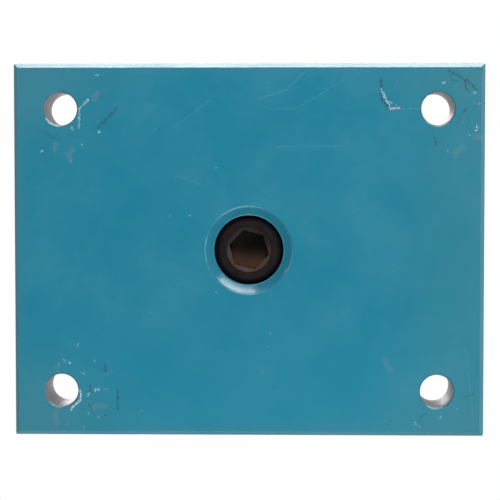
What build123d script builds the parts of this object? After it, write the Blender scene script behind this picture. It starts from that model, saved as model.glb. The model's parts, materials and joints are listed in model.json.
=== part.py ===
from build123d import *
import math
import os

# Swivel hoist ring on a mounting plate, in millimetres.
# The plate lies flat. Z = 0 is its mounting face, +Z points to the ring side, +X runs along its long side.
# The origin is on the swivel axis. The bail is folded down towards +X and almost touches the plate.

# ---- driving dimensions: mounting plate ----
PLATE_LENGTH = 250.0
PLATE_WIDTH = 198.0
PLATE_THICK = 30.0
PLATE_CHAMFER = 2.2
HOLE_SPACING_X = 200.0
HOLE_SPACING_Y = 150.0
HOLE_RADIUS = 8.75
HOLE_CHAMFER = 0.8
SINK_RADIUS = 18.5
SINK_DEPTH = 20.0
SINK_MOUTH_RADIUS = 23.25
BOLT_HOLE_RADIUS = 13.0

# ---- swivel bolt: M24, low head ----
BOLT_RADIUS = 12.0
BOLT_TIP_Z = 110.0
BOLT_TIP_CHAMFER = 2.0
HEAD_RADIUS = 18.0
HEAD_HEIGHT = 14.0
HEAD_ROUNDING = 2.8
SOCKET_FLATS = 19.0
SOCKET_DEPTH = 8.5
SOCKET_TURN = 14.0
SOCKET_MOUTH_RADIUS = 12.2
SOCKET_MOUTH_DEPTH = 1.6
DRILL_HALF_ANGLE = 59.0

# ---- flanged bushing on the plate ----
BUSH_BORE_RADIUS = 12.25
BUSH_RADIUS = 17.0
BUSH_FLANGE_RADIUS = 23.0
BUSH_FLANGE_THICK = 6.0
BUSH_TOP_Z = 78.5
GROOVE_RADIUS = 15.7
GROOVE_Z = 33.5
GROOVE_WIDTH = 2.2
RETAINER_RADIUS = 20.5
RETAINER_THICK = 2.0
RETAINER_GAP = 9.0

# ---- swivel body ----
BODY_RADIUS = 48.0
BODY_BOTTOM_Z = 32.3
BODY_TOP_Z = 78.0
BODY_FLAT_Y = 38.0
BODY_TOP_CHAMFER = 3.0
BODY_BOTTOM_CHAMFER = 1.5
SLEEVE_OUTER_RADIUS = 19.5
SLEEVE_INNER_RADIUS = 17.05
RECESS_RADIUS = 23.0
RECESS_TOP_Z = 38.5
TOP_SINK_RADIUS = 24.3
TOP_SINK_Z = 70.0

# ---- washers and nut ----
LOWER_WASHER_RADIUS = 37.5
LOWER_WASHER_BORE = 17.6
LOWER_WASHER_THICK = 2.0
UPPER_WASHER_RADIUS = 23.8
UPPER_WASHER_BORE = 17.4
UPPER_WASHER_THICK = 2.2
TOP_WASHER_RADIUS = 22.0
TOP_WASHER_BORE = 12.6
TOP_WASHER_THICK = 4.0
NUT_FLATS = 36.0
NUT_HEX_HEIGHT = 19.5
NUT_HEIGHT = 24.0
NUT_CORNER_ANGLE = 30.0
NUT_COLLAR_RADIUS = 16.6
NUT_COLLAR_ROUNDING = 1.0
INSERT_RADIUS = 14.8
INSERT_HEIGHT = 4.0
NUT_LIP_RADIUS = 13.8

# ---- bail and its pins ----
PIVOT_Z = 55.0
BAIL_WIRE_RADIUS = 11.0
BAIL_EYE_RADIUS = 23.5
BAIL_REACH = 105.0
BAIL_PLATE_GAP = 0.4
EYE_GAP = 0.3
EYE_CHAMFER = 2.5
PIN_RADIUS = 10.0
PIN_CLEARANCE = 0.05
PIN_STUB_RADIUS = 8.0
PIN_STUB_LENGTH = 16.0
PIN_HEAD_RADIUS = 14.0
PIN_HEAD_THICK = 5.0
PIN_HEAD_CHAMFER = 1.5
PIN_CENTRE_RADIUS = 2.5
PIN_WASHER_RADIUS = 15.0
PIN_WASHER_THICK = 1.5
ROLL_PIN_RADIUS = 2.5
ROLL_PIN_BORE = 1.6
ROLL_PIN_SLOT = 1.0
ROLL_PIN_LENGTH = 35.0
ROLL_PIN_SUNK = 1.0

# ---- worked out from the dimensions above ----
HEAD_TOP_Z = SINK_DEPTH - HEAD_HEIGHT
NUT_Z = BUSH_TOP_Z + TOP_WASHER_THICK
NUT_TOP_Z = NUT_Z + NUT_HEIGHT
EYE_INNER_Y = BODY_FLAT_Y + PIN_WASHER_THICK + EYE_GAP
EYE_OUTER_Y = EYE_INNER_Y + 2 * BAIL_WIRE_RADIUS
LEG_Y = (EYE_INNER_Y + EYE_OUTER_Y) / 2
PIN_HEAD_Y = EYE_OUTER_Y + EYE_GAP
ROLL_PIN_Y = BODY_FLAT_Y - PIN_STUB_LENGTH / 2
BAIL_DROP = PIVOT_Z - PLATE_THICK - BAIL_WIRE_RADIUS - BAIL_PLATE_GAP
BAIL_DIP = math.degrees(math.asin(BAIL_DROP / BAIL_REACH))

# ---- small edge breaks and fits, shared ----
EDGE_BREAK = 0.5
CORNER_BREAK = 0.8
EASY_FIT = 0.1
CUT_PAST = 5.0
MERGE_DEPTH = 1.0


def tube(outer, inner, z_low, z_high):
    """A round tube on the swivel axis."""
    height = z_high - z_low
    ring = extrude(Circle(outer) - Circle(inner), height)
    return Pos(0, 0, z_low) * ring


def disc(radius, z_low, z_high):
    """A solid disc on the swivel axis."""
    return Pos(0, 0, z_low) * extrude(Circle(radius), z_high - z_low)


def funnel(r_low, r_high, z_low, z_high):
    """A cone frustum on the swivel axis, for countersinks and drill points."""
    height = z_high - z_low
    return Pos(0, 0, z_low + height / 2) * Cone(r_low, r_high, height)


def break_rims(shape, size, radius_min=0.0):
    """Chamfers every full circular edge that lies in a flat face square to the swivel axis."""
    rims = []
    for edge in shape.edges().filter_by(GeomType.CIRCLE):
        if edge.radius > radius_min and edge.is_closed:
            rims.append(edge)
    return chamfer(rims, size)


def corner_holes(radius):
    """The four mounting holes as cutters that run past both faces."""
    length = PLATE_THICK + 2 * CUT_PAST
    hole = Cylinder(radius, length)
    spots = GridLocations(HOLE_SPACING_X, HOLE_SPACING_Y, 2, 2)
    return [Pos(0, 0, PLATE_THICK / 2) * spot * hole for spot in spots]


def mouth_cones():
    """Countersinks that break both rims of each mounting hole."""
    wide = HOLE_RADIUS + HOLE_CHAMFER
    low = funnel(wide, HOLE_RADIUS, 0, HOLE_CHAMFER)
    high = funnel(HOLE_RADIUS, wide, PLATE_THICK - HOLE_CHAMFER, PLATE_THICK)
    spots = GridLocations(HOLE_SPACING_X, HOLE_SPACING_Y, 2, 2)
    return [spot * cone for spot in spots for cone in (low, high)]


def mounting_plate():
    slab = Pos(0, 0, PLATE_THICK / 2) * Box(PLATE_LENGTH, PLATE_WIDTH, PLATE_THICK)
    ends = slab.faces().sort_by(Axis.Z)
    slab = chamfer(ends[0].edges() + ends[-1].edges(), PLATE_CHAMFER)
    slab = fillet(slab.edges().filter_by(Axis.Z), CORNER_BREAK)
    mouth_depth = SINK_MOUTH_RADIUS - SINK_RADIUS
    slab -= disc(BOLT_HOLE_RADIUS, -CUT_PAST, PLATE_THICK + CUT_PAST)
    slab -= disc(SINK_RADIUS, -CUT_PAST, SINK_DEPTH)
    slab -= funnel(SINK_MOUTH_RADIUS, SINK_RADIUS, 0, mouth_depth)
    for cutter in corner_holes(HOLE_RADIUS) + mouth_cones():
        slab -= cutter
    return slab


def key_socket():
    """The bolt's hexagon socket with its countersunk mouth and drill point."""
    bottom = HEAD_TOP_Z + SOCKET_DEPTH
    hexagon = RegularPolygon(SOCKET_FLATS / 2, 6, major_radius=False, rotation=SOCKET_TURN)
    pocket = Pos(0, 0, HEAD_TOP_Z - CUT_PAST) * extrude(hexagon, SOCKET_DEPTH + CUT_PAST)
    mouth = funnel(SOCKET_MOUTH_RADIUS, SOCKET_FLATS / 2, HEAD_TOP_Z, HEAD_TOP_Z + SOCKET_MOUTH_DEPTH)
    point_depth = (SOCKET_FLATS / 2) / math.tan(math.radians(DRILL_HALF_ANGLE))
    point = funnel(SOCKET_FLATS / 2, 0, bottom, bottom + point_depth)
    return pocket + mouth + point


def swivel_bolt():
    head = disc(HEAD_RADIUS, HEAD_TOP_Z, SINK_DEPTH)
    head = fillet(head.edges().sort_by(Axis.Z)[0], HEAD_ROUNDING)
    shank = disc(BOLT_RADIUS, SINK_DEPTH - MERGE_DEPTH, BOLT_TIP_Z)
    shank = chamfer(shank.edges().sort_by(Axis.Z)[-1], BOLT_TIP_CHAMFER)
    return head + shank - key_socket()


def bushing():
    barrel = tube(BUSH_RADIUS, BUSH_BORE_RADIUS, PLATE_THICK, BUSH_TOP_Z)
    flange = tube(BUSH_FLANGE_RADIUS, BUSH_BORE_RADIUS, BUSH_TOP_Z - BUSH_FLANGE_THICK, BUSH_TOP_Z)
    flange = break_rims(flange, EDGE_BREAK, radius_min=BUSH_RADIUS)
    groove = tube(BUSH_RADIUS + CUT_PAST, GROOVE_RADIUS, GROOVE_Z, GROOVE_Z + GROOVE_WIDTH)
    return barrel - groove + flange


def retaining_ring():
    low = GROOVE_Z + (GROOVE_WIDTH - RETAINER_THICK) / 2
    ring = tube(RETAINER_RADIUS, GROOVE_RADIUS + EASY_FIT, low, low + RETAINER_THICK)
    slot = Pos(-RETAINER_RADIUS, 0, low) * Box(RETAINER_RADIUS, RETAINER_GAP, 4 * RETAINER_THICK)
    return ring - slot


def lower_thrust_washer():
    ring = tube(LOWER_WASHER_RADIUS, LOWER_WASHER_BORE, PLATE_THICK, PLATE_THICK + LOWER_WASHER_THICK)
    return break_rims(ring, EDGE_BREAK)


def upper_thrust_washer():
    return tube(UPPER_WASHER_RADIUS, UPPER_WASHER_BORE, TOP_SINK_Z, TOP_SINK_Z + UPPER_WASHER_THICK)


def body_sleeve():
    return tube(SLEEVE_OUTER_RADIUS, SLEEVE_INNER_RADIUS, RECESS_TOP_Z, TOP_SINK_Z)


def side_pin_hole(side):
    """The blind hole for a shoulder pin's stub, in the flat on one side of the body."""
    length = PIN_STUB_LENGTH + CUT_PAST
    middle = BODY_FLAT_Y - PIN_STUB_LENGTH + length / 2
    return Pos(0, side * middle, PIVOT_Z) * Rot(90, 0, 0) * Cylinder(PIN_STUB_RADIUS, length)


def roll_pin_hole(side):
    """The vertical hole that a roll pin is driven into."""
    bottom = BODY_TOP_Z - ROLL_PIN_SUNK - ROLL_PIN_LENGTH
    length = BODY_TOP_Z + CUT_PAST - bottom
    return Pos(0, side * ROLL_PIN_Y, bottom + length / 2) * Cylinder(ROLL_PIN_RADIUS, length)


def swivel_body():
    round_body = disc(BODY_RADIUS, BODY_BOTTOM_Z, BODY_TOP_Z)
    rims = round_body.edges().filter_by(GeomType.CIRCLE).sort_by(Axis.Z)
    round_body = chamfer(rims[-1], BODY_TOP_CHAMFER)
    rims = round_body.edges().filter_by(GeomType.CIRCLE).sort_by(Axis.Z)
    round_body = chamfer(rims[0], BODY_BOTTOM_CHAMFER)
    height = BODY_TOP_Z - BODY_BOTTOM_Z
    keep = Pos(0, 0, (BODY_TOP_Z + BODY_BOTTOM_Z) / 2) * Box(3 * BODY_RADIUS, 2 * BODY_FLAT_Y, height)
    body = round_body & keep
    body -= disc(SLEEVE_OUTER_RADIUS, BODY_BOTTOM_Z - CUT_PAST, BODY_TOP_Z)
    body -= disc(RECESS_RADIUS, BODY_BOTTOM_Z - CUT_PAST, RECESS_TOP_Z)
    body -= disc(TOP_SINK_RADIUS, TOP_SINK_Z, BODY_TOP_Z + CUT_PAST)
    body -= funnel(TOP_SINK_RADIUS, TOP_SINK_RADIUS + CORNER_BREAK, BODY_TOP_Z - CORNER_BREAK, BODY_TOP_Z)
    for side in (-1, 1):
        body -= side_pin_hole(side)
        body -= roll_pin_hole(side)
    return body


def bail_eye(side):
    """The forged eye at one end of the bail, centred on the pivot axis at the origin's height."""
    eye = Cylinder(BAIL_EYE_RADIUS, 2 * BAIL_WIRE_RADIUS)
    eye = chamfer(eye.edges().filter_by(GeomType.CIRCLE), EYE_CHAMFER)
    return Pos(0, side * LEG_Y, 0) * Rot(90, 0, 0) * eye


def bail_bore(side):
    """The running hole for a shoulder pin through one eye."""
    bore = Cylinder(PIN_RADIUS + PIN_CLEARANCE, 4 * BAIL_WIRE_RADIUS)
    return Pos(0, side * LEG_Y, 0) * Rot(90, 0, 0) * bore


def bail():
    """Round bar bent to a U, with an eye at each end, folded down towards the plate."""
    leg_start = BAIL_EYE_RADIUS - 2 * EYE_CHAMFER
    leg_end = BAIL_REACH - LEG_Y
    leg_a = Line((leg_start, -LEG_Y, 0), (leg_end, -LEG_Y, 0))
    crown = ThreePointArc((leg_end, -LEG_Y, 0), (BAIL_REACH, 0, 0), (leg_end, LEG_Y, 0))
    leg_b = Line((leg_end, LEG_Y, 0), (leg_start, LEG_Y, 0))
    path = Wire([leg_a, crown, leg_b])
    section = Plane(origin=(leg_start, -LEG_Y, 0), z_dir=(1, 0, 0)) * Circle(BAIL_WIRE_RADIUS)
    bow = sweep(section, path=path)
    for side in (-1, 1):
        bow += bail_eye(side)
    for side in (-1, 1):
        bow -= bail_bore(side)
    return Pos(0, 0, PIVOT_Z) * Rot(0, BAIL_DIP, 0) * bow


def bail_pin(side):
    """A shoulder pin: stub in the body, shoulder through the eye, low head outside."""
    stub = Pos(0, 0, BODY_FLAT_Y - PIN_STUB_LENGTH) * extrude(Circle(PIN_STUB_RADIUS), PIN_STUB_LENGTH)
    shoulder = Pos(0, 0, BODY_FLAT_Y) * extrude(Circle(PIN_RADIUS), PIN_HEAD_Y - BODY_FLAT_Y)
    head = Pos(0, 0, PIN_HEAD_Y) * extrude(Circle(PIN_HEAD_RADIUS), PIN_HEAD_THICK)
    head = chamfer(head.edges().filter_by(GeomType.CIRCLE).sort_by(Axis.Z)[-1], PIN_HEAD_CHAMFER)
    face_z = PIN_HEAD_Y + PIN_HEAD_THICK
    centre = funnel(0, PIN_CENTRE_RADIUS, face_z - PIN_CENTRE_RADIUS, face_z)
    pin = stub + shoulder + head - centre
    across = Pos(0, 0, ROLL_PIN_Y) * Rot(90, 0, 0) * Cylinder(ROLL_PIN_RADIUS, 4 * PIN_STUB_RADIUS)
    pin -= across
    turn = -90 if side > 0 else 90
    return Pos(0, 0, PIVOT_Z) * Rot(turn, 0, 0) * pin


def pin_washer(side):
    ring = extrude(Circle(PIN_WASHER_RADIUS) - Circle(PIN_RADIUS + EASY_FIT), PIN_WASHER_THICK)
    turn = -90 if side > 0 else 90
    return Pos(0, side * BODY_FLAT_Y, PIVOT_Z) * Rot(turn, 0, 0) * ring


def roll_pin(side):
    """A slotted spring pin driven down through the body and the shoulder pin's stub."""
    top = BODY_TOP_Z - ROLL_PIN_SUNK
    slot = Pos(ROLL_PIN_RADIUS, 0) * Rectangle(2 * ROLL_PIN_RADIUS, ROLL_PIN_SLOT)
    ring = Circle(ROLL_PIN_RADIUS) - Circle(ROLL_PIN_BORE) - slot
    pin = extrude(ring, ROLL_PIN_LENGTH)
    return Pos(0, side * ROLL_PIN_Y, top - ROLL_PIN_LENGTH) * pin


def top_washer():
    ring = tube(TOP_WASHER_RADIUS, TOP_WASHER_BORE, BUSH_TOP_Z, NUT_Z)
    return break_rims(ring, EDGE_BREAK)


def lock_nut():
    hexagon = RegularPolygon(NUT_FLATS / 2, 6, major_radius=False)
    prism = Pos(0, 0, NUT_Z) * extrude(hexagon, NUT_HEX_HEIGHT)
    corner = NUT_FLATS / math.sqrt(3)
    fall = (corner - NUT_FLATS / 2) * math.tan(math.radians(NUT_CORNER_ANGLE))
    hex_top = NUT_Z + NUT_HEX_HEIGHT
    rounding = disc(corner, NUT_Z + fall, hex_top - fall)
    rounding += funnel(NUT_FLATS / 2, corner, NUT_Z, NUT_Z + fall)
    rounding += funnel(corner, NUT_FLATS / 2, hex_top - fall, hex_top)
    collar = disc(NUT_COLLAR_RADIUS, hex_top - CUT_PAST, NUT_TOP_Z)
    collar = fillet(collar.edges().sort_by(Axis.Z)[-1], NUT_COLLAR_ROUNDING)
    nut = (prism & rounding) + collar
    insert_top = NUT_TOP_Z - EDGE_BREAK
    nut -= disc(BOLT_RADIUS, NUT_Z - CUT_PAST, NUT_TOP_Z)
    nut -= disc(INSERT_RADIUS, insert_top - INSERT_HEIGHT, insert_top)
    nut -= disc(NUT_LIP_RADIUS, insert_top, NUT_TOP_Z + CUT_PAST)
    return nut


def nylon_insert():
    top = NUT_TOP_Z - EDGE_BREAK
    return tube(INSERT_RADIUS, BOLT_RADIUS, top - INSERT_HEIGHT, top)


PARTS = {
    "mounting_plate": mounting_plate(),
    "swivel_bolt": swivel_bolt(),
    "bushing": bushing(),
    "retaining_ring": retaining_ring(),
    "lower_thrust_washer": lower_thrust_washer(),
    "upper_thrust_washer": upper_thrust_washer(),
    "body_sleeve": body_sleeve(),
    "swivel_body": swivel_body(),
    "bail": bail(),
    "bail_pin_left": bail_pin(1),
    "bail_pin_right": bail_pin(-1),
    "pin_washer_left": pin_washer(1),
    "pin_washer_right": pin_washer(-1),
    "roll_pin_left": roll_pin(1),
    "roll_pin_right": roll_pin(-1),
    "top_washer": top_washer(),
    "lock_nut": lock_nut(),
    "nylon_insert": nylon_insert(),
}

os.makedirs("parts", exist_ok=True)
for name, shape in PARTS.items():
    export_step(shape, f"parts/{name}.step")
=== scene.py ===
import json
import math
import random

import bmesh
import bpy
from mathutils import Matrix, Vector, noise


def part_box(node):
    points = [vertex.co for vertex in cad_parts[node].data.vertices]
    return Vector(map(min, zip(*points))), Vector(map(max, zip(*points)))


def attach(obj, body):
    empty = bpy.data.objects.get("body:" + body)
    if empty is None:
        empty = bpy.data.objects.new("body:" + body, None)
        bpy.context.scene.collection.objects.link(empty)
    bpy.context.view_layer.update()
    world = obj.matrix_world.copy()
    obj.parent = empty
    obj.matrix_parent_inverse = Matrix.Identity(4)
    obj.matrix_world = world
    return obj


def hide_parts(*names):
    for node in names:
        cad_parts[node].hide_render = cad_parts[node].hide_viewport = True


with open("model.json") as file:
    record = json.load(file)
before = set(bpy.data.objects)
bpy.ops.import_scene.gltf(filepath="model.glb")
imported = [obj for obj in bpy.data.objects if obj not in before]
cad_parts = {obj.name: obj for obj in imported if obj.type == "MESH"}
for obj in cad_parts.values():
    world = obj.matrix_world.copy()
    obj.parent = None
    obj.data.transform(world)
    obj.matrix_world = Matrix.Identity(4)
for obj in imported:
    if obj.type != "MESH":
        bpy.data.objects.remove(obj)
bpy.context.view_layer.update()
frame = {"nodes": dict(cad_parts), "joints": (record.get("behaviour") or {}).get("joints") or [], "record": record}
scene = bpy.context.scene

# Every length below is in metres. A millimetre is MM.
MM = 0.001

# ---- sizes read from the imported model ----
PLATE_LOW, PLATE_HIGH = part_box("mounting_plate")
PLATE_THICK = PLATE_HIGH.z
BODY_LOW, BODY_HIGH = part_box("swivel_body")
BUSH_LOW, BUSH_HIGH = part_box("bushing")
BOLT_LOW, BOLT_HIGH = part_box("swivel_bolt")
NUT_LOW, NUT_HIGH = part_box("lock_nut")
WASHER_LOW, WASHER_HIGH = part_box("top_washer")
PIN_LOW, PIN_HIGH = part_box("bail_pin_left")
MOUNTS = {m["name"]: m for m in frame["record"]["mounts"]}
BOLT_DIMS = MOUNTS["mounting_bolts"]["dims"]
HOLE_X = BOLT_DIMS["spacing_x_mm"] * MM / 2
HOLE_Y = BOLT_DIMS["spacing_y_mm"] * MM / 2
HOLE_R = BOLT_DIMS["hole_r_mm"] * MM
JOINTS = {j["name"]: j for j in frame["joints"]}
PIVOT_Z = JOINTS["bail_fold"]["pos_m"][2]

# ---- sizes that the boxes do not give, the same as in the CAD ----
PLATE_CHAMFER = 2.2 * MM
PLATE_CORNER = 0.8 * MM
HOLE_CHAMFER = 0.8 * MM
SINK_R = 18.5 * MM
SINK_DEPTH = 20 * MM
SINK_MOUTH_R = 23.25 * MM
BOLT_HOLE_R = 13 * MM
HEAD_R = 18 * MM
HEAD_ROUNDING = 2.8 * MM
SOCKET_FLATS = 19 * MM
SOCKET_DEPTH = 8.5 * MM
SOCKET_TURN = math.radians(14)
SOCKET_MOUTH_R = 12.2 * MM
SOCKET_MOUTH_DEPTH = 1.6 * MM
DRILL_ANGLE = math.radians(59)
SHANK_R = 12 * MM
TIP_CHAMFER = 2 * MM
BUSH_BORE_R = 12.25 * MM
BUSH_R = 17 * MM
BUSH_FLANGE_THICK = 6 * MM
BODY_FLAT_Y = 38 * MM
EYE_INNER_Y = 39.8 * MM
EYE_R = 23.5 * MM
WIRE_R = 11 * MM
BAIL_REACH = 105 * MM
BAIL_GAP = 0.4 * MM
PIN_R = 10 * MM
PIN_STUB_R = 8 * MM
PIN_HEAD_THICK = 5 * MM
PIN_HEAD_CHAMFER = 1.5 * MM
PIN_CENTRE_R = 2.5 * MM
ROLL_PIN_R = 2.5 * MM
ROLL_PIN_Y = 30 * MM
WASHER_BORE_R = 12.6 * MM
NUT_HEX_HEIGHT = 19.5 * MM
NUT_COLLAR_R = 16.6 * MM
NUT_LIP_R = 13.8 * MM
INSERT_R = 14.8 * MM
INSERT_HEIGHT = 4 * MM

# ---- shapes that the CAD does not have, or has in a plainer form ----
MOUTH_LIP = 2 * MM
MOUTH_BEAD = 0.3 * MM
THREAD_PITCH = 3 * MM
THREAD_DEPTH = 0.61 * THREAD_PITCH
THREAD_LENGTH = 62 * MM
ROLL_HOLE_DEPTH = 10 * MM
EYE_ROUNDING = 4 * MM
EYE_FIT = 0.15 * MM
EYE_COUNTERSINK = 1 * MM
LEG_START = 14 * MM
NECK_START = 10 * MM
NECK_SQUEEZE = 0.75
NECK_MIDDLE = 24 * MM
NECK_REACH = 20 * MM
FORGING_GRID = 0.8 * MM

# ---- working sizes ----
PAST = 4 * MM
ROUND_STEPS = 128


# ======================================================================
# mesh tools
# ======================================================================

def link(name, mesh):
    """Puts a mesh in the scene as a new object."""
    obj = bpy.data.objects.new(name, mesh)
    scene.collection.objects.link(obj)
    return obj


def from_bmesh(name, bm):
    """Closes a bmesh into an object with outward normals."""
    bmesh.ops.recalc_face_normals(bm, faces=bm.faces)
    mesh = bpy.data.meshes.new(name)
    bm.to_mesh(mesh)
    bm.free()
    return link(name, mesh)


def apply_modifiers(obj):
    """Bakes an object's modifiers into its own mesh."""
    graph = bpy.context.evaluated_depsgraph_get()
    graph.update()
    made = bpy.data.meshes.new_from_object(obj.evaluated_get(graph))
    old = obj.data
    obj.modifiers.clear()
    obj.data = made
    bpy.data.meshes.remove(old)
    return obj


def lathe(name, outline, steps=ROUND_STEPS):
    """Turns an outline of (radius, height) points about Z. One that misses the axis is a closed loop."""
    bm = bmesh.new()
    on_axis = outline[0][0] == 0
    verts = [bm.verts.new((r, 0, z)) for r, z in outline]
    pairs = list(zip(verts, verts[1:]))
    if not on_axis:
        pairs.append((verts[-1], verts[0]))
    edges = [bm.edges.new(p) for p in pairs]
    bmesh.ops.spin(bm, geom=verts + edges, cent=(0, 0, 0), axis=(0, 0, 1),
                   angle=math.tau, steps=steps, use_merge=True)
    bmesh.ops.remove_doubles(bm, verts=bm.verts, dist=0.001 * MM)
    return from_bmesh(name, bm)


def prism(name, radius, sides, low, high, turn=0.0):
    """An upright prism on the Z axis, whose corners lie on radius."""
    bm = bmesh.new()
    ring = [(radius * math.cos(turn + math.tau * k / sides),
             radius * math.sin(turn + math.tau * k / sides)) for k in range(sides)]
    bottom = [bm.verts.new((x, y, low)) for x, y in ring]
    top = [bm.verts.new((x, y, high)) for x, y in ring]
    bm.faces.new(bottom)
    bm.faces.new(top)
    for k in range(sides):
        n = (k + 1) % sides
        bm.faces.new((bottom[k], bottom[n], top[n], top[k]))
    return from_bmesh(name, bm)


def block(name, low, high):
    """A plain box between two corners, as a cutter or a start for bevels."""
    bm = bmesh.new()
    bmesh.ops.create_cube(bm, size=1)
    size = Vector(high) - Vector(low)
    middle = (Vector(high) + Vector(low)) / 2
    bmesh.ops.transform(bm, matrix=Matrix.Translation(middle) @ Matrix.Diagonal((*size, 1)), verts=bm.verts)
    return from_bmesh(name, bm)


def combine(obj, other, operation):
    """Boolean of two closed meshes. The second one is used up."""
    step = obj.modifiers.new("combine", "BOOLEAN")
    step.operation = operation
    step.solver = "EXACT"
    step.object = other
    apply_modifiers(obj)
    mesh = other.data
    bpy.data.objects.remove(other)
    bpy.data.meshes.remove(mesh)
    return obj


def place(obj, matrix):
    """Moves a mesh's own points."""
    obj.data.transform(matrix)
    obj.data.update()
    return obj


def soften(obj, width, segments=2, angle=25):
    """Rounds every sharp edge a little and smooths the shading between."""
    for face in obj.data.polygons:
        face.use_smooth = True
    bevel = obj.modifiers.new("soften", "BEVEL")
    bevel.width = width
    bevel.segments = segments
    bevel.limit_method = "ANGLE"
    bevel.angle_limit = math.radians(angle)
    bevel.harden_normals = False
    bevel.use_clamp_overlap = True
    weighted = obj.modifiers.new("shading", "WEIGHTED_NORMAL")
    weighted.keep_sharp = True
    weighted.weight = 100
    return apply_modifiers(obj)


def spots():
    """The centres of the four corner holes."""
    return [(sx * HOLE_X, sy * HOLE_Y) for sx in (-1, 1) for sy in (-1, 1)]


# ======================================================================
# material tools
# ======================================================================

class Nodes:
    """Short ways to add nodes to a tree. Inputs are sockets or plain values."""

    def __init__(self, tree):
        self.tree = tree

    def feed(self, node, label, value):
        """Links a socket to a node's input, or sets the input to a plain value."""
        socket = node.inputs[label]
        if isinstance(value, bpy.types.NodeSocket):
            self.tree.links.new(value, socket)
        elif isinstance(value, tuple) and len(value) == 3 and len(socket.default_value) == 4:
            socket.default_value = (*value, 1)
        else:
            socket.default_value = value

    def node(self, kind, out=0, inputs=(), **settings):
        """Adds a node, fills its inputs and returns one of its outputs."""
        made = self.tree.nodes.new(kind)
        for label, value in settings.items():
            setattr(made, label, value)
        for label, value in dict(inputs).items():
            self.feed(made, label, value)
        return made.outputs[out]

    def math(self, operation, a, b=0.0):
        """One sum on two numbers."""
        return self.node("ShaderNodeMath", inputs={0: a, 1: b}, operation=operation)

    def vector(self, operation, a, b=(0, 0, 0), scale=1.0):
        """One sum on vectors. SCALE uses scale in place of b."""
        out = 1 if operation in ("LENGTH", "DISTANCE", "DOT_PRODUCT") else 0
        fill = {0: a, 1: b}
        if operation == "SCALE":
            fill = {0: a, "Scale": scale}
        return self.node("ShaderNodeVectorMath", out, fill, operation=operation)

    def place(self):
        """The point's own coordinates, in millimetres."""
        where = self.node("ShaderNodeTexCoord", "Object")
        return self.vector("SCALE", where, scale=1 / MM)

    def parts(self, vector):
        """A vector's x, y and z."""
        split = self.tree.nodes.new("ShaderNodeSeparateXYZ")
        self.feed(split, 0, vector)
        return split.outputs

    def noise(self, vector, scale, detail=3.0, rough=0.55, colour=False):
        """Fractal noise from 0 to 1. With colour it gives three at once."""
        out = "Color" if colour else 0
        return self.node("ShaderNodeTexNoise", out, {"Vector": vector, "Scale": scale,
                         "Detail": detail, "Roughness": rough})

    def band(self, value, low, high, to_low=0.0, to_high=1.0):
        """Runs smoothly from to_low at low to to_high at high."""
        return self.node("ShaderNodeMapRange", 0, {"Value": value, 1: low, 2: high, 3: to_low, 4: to_high},
                         interpolation_type="SMOOTHSTEP")

    def mix(self, factor, a, b):
        """A colour between a and b."""
        made = self.tree.nodes.new("ShaderNodeMix")
        made.data_type = "RGBA"
        for index, value in ((0, factor), (6, a), (7, b)):
            self.feed(made, index, value)
        return made.outputs[2]


class Shader(Nodes):
    """A new material with a Principled surface."""

    def __init__(self, name, **settings):
        self.material = bpy.data.materials.new(name)
        self.material.use_nodes = True
        super().__init__(self.material.node_tree)
        self.surface = self.tree.nodes["Principled BSDF"]
        for label, value in settings.items():
            self.set(label.replace("_", " "), value)

    def set(self, label, value):
        """Feeds one of the surface's own inputs."""
        self.feed(self.surface, label, value)

    def bump(self, height, depth, strength=1.0):
        """Sets the surface's relief. depth is in millimetres for a height of one."""
        made = self.node("ShaderNodeBump", 0, {"Height": height, "Distance": depth * MM,
                         "Strength": strength})
        self.set("Normal", made)


# ======================================================================
# the plate
# ======================================================================

def chamfered_slab():
    """The plate's block with its face edges chamfered and its upright corners eased."""
    slab = block("mounting_plate_body", PLATE_LOW, PLATE_HIGH)
    bm = bmesh.new()
    bm.from_mesh(slab.data)
    flat = [e for e in bm.edges if abs(e.verts[0].co.z - e.verts[1].co.z) < MM]
    bmesh.ops.bevel(bm, geom=flat, offset=PLATE_CHAMFER, offset_type="OFFSET", segments=1,
                    profile=0.5, affect="EDGES")
    upright = [e for e in bm.edges if abs(e.verts[0].co.z - e.verts[1].co.z) > PLATE_THICK / 2]
    bmesh.ops.bevel(bm, geom=upright, offset=PLATE_CORNER, offset_type="OFFSET", segments=3,
                    profile=0.5, affect="EDGES")
    bm.to_mesh(slab.data)
    bm.free()
    return slab


def corner_cutter(x, y):
    """A mounting hole with a small countersink at each face."""
    wide = HOLE_R + HOLE_CHAMFER + PAST
    cutter = lathe("cutter", [(0, -PAST), (wide, -PAST), (HOLE_R, HOLE_CHAMFER),
                              (HOLE_R, PLATE_THICK - HOLE_CHAMFER), (wide, PLATE_THICK + PAST),
                              (0, PLATE_THICK + PAST)], steps=96)
    return place(cutter, Matrix.Translation((x, y, 0)))


def sink_cutter():
    """The stepped middle hole: a mouth with a rounded lip and a beaded rim, counterbore and bolt hole."""
    mouth_depth = SINK_MOUTH_R - SINK_R
    run = MOUTH_LIP * math.tan(math.radians(22.5))
    lip = [(SINK_MOUTH_R + run - MOUTH_LIP * math.sin(a), MOUTH_LIP - MOUTH_LIP * math.cos(a))
           for a in (math.radians(d) for d in range(0, 46, 9))]
    bead = [(SINK_R + MOUTH_BEAD + MOUTH_BEAD * math.cos(a),
             mouth_depth - MOUTH_BEAD - MOUTH_BEAD * math.sin(a))
            for a in (math.radians(d) for d in range(45, 181, 27))]
    wide = SINK_MOUTH_R + 2 * PAST
    return lathe("cutter", [(0, -PAST), (wide, -PAST), (wide, 0), *lip, *bead,
                            (SINK_R, SINK_DEPTH), (BOLT_HOLE_R, SINK_DEPTH),
                            (BOLT_HOLE_R, PLATE_THICK + PAST), (0, PLATE_THICK + PAST)], steps=160)


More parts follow.
